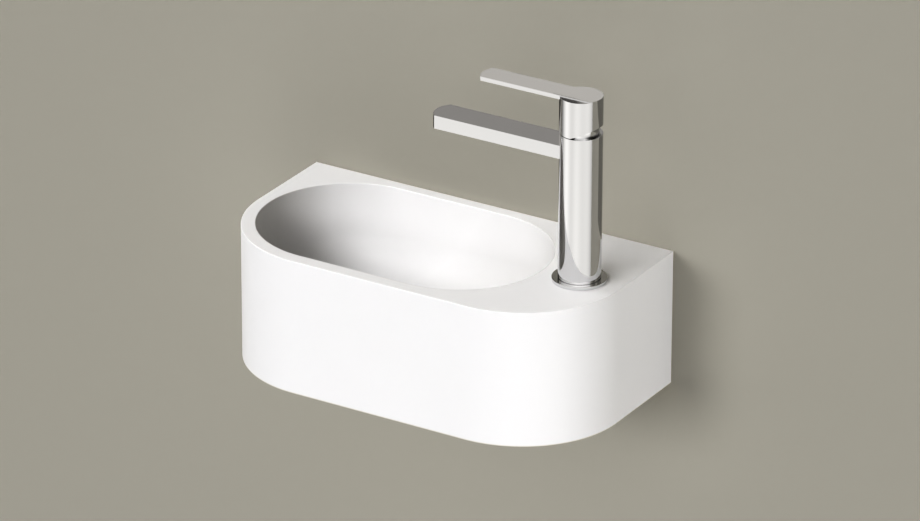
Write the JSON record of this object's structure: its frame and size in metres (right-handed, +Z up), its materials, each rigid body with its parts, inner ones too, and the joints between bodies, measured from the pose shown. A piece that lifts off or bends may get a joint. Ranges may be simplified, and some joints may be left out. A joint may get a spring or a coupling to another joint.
{
  "type": "wall-hung washbasin",
  "caption": "Small wall-hung ceramic hand basin with an oblong bowl and a chrome single-lever mixer tap on its side deck.",
  "frame": {"origin": "on the wall plane, halfway between the two wall bolt holes", "axes": "+Z up, -Y out of the wall towards the user, +X to the user's right along the wall"},
  "size_m": [0.35, 0.183, 0.3075],
  "materials": {
    "ceramic": "white glaze, satin",
    "disc_ceramic": "lapped",
    "chrome": "polished chrome plate",
    "brass": "turned",
    "steel": "zinc plated",
    "rubber": "matte",
    "plastic": "moulded",
    "marker": "moulded, half red and half blue"
  },
  "bodies": {
    "basin": {"basin_shell": "ceramic", "waste_flange": "chrome", "waste_top_gasket": "rubber", "waste_under_gasket": "rubber", "waste_washer": "plastic", "waste_nut": "brass", "tap_body": "chrome", "spout": "chrome", "base_ring": "chrome", "base_seal": "rubber", "aerator_housing": "plastic", "aerator_screen": "plastic", "cartridge_housing": "plastic", "inlet_seals": "rubber", "fixed_disc": "disc_ceramic", "retaining_nut": "brass", "neck_dome": "chrome", "mounting_stud": "steel", "deck_rubber": "rubber", "deck_clamp": "steel", "stud_nut": "brass"},
    "cover": {"waste_cover": "chrome"},
    "carrier": {"rotor": "plastic", "pivot_pin": "steel"},
    "lever": {"lever_cap": "chrome", "lever_stem": "brass", "grub_screw": "steel", "indicator_plug": "marker"},
    "disc": {"moving_disc": "disc_ceramic"}
  },
  "joints": [
    {"name": "cover_lift", "type": "slide", "parent": "basin", "child": "cover", "axis": [0, 0, 1], "range_m": [0, 0.06]},
    {"name": "lever_turn", "type": "hinge", "parent": "basin", "child": "carrier", "pos_m": [0.137, -0.0895, 0.2374], "axis": [0, 0, 1], "range_deg": [-45, 45]},
    {"name": "lever_lift", "type": "hinge", "parent": "carrier", "child": "lever", "pos_m": [0.137, -0.0895, 0.2374], "axis": [0, 1, 0], "range_deg": [0, 22]},
    {"name": "disc_slide", "type": "slide", "parent": "carrier", "child": "disc", "axis": [1, 0, 0], "range_m": [-0.0038, 0]}
  ],
  "couplings": [
    {"joint": "disc_slide", "follows": "lever_lift", "m_per_rad": -0.009756}
  ]
}
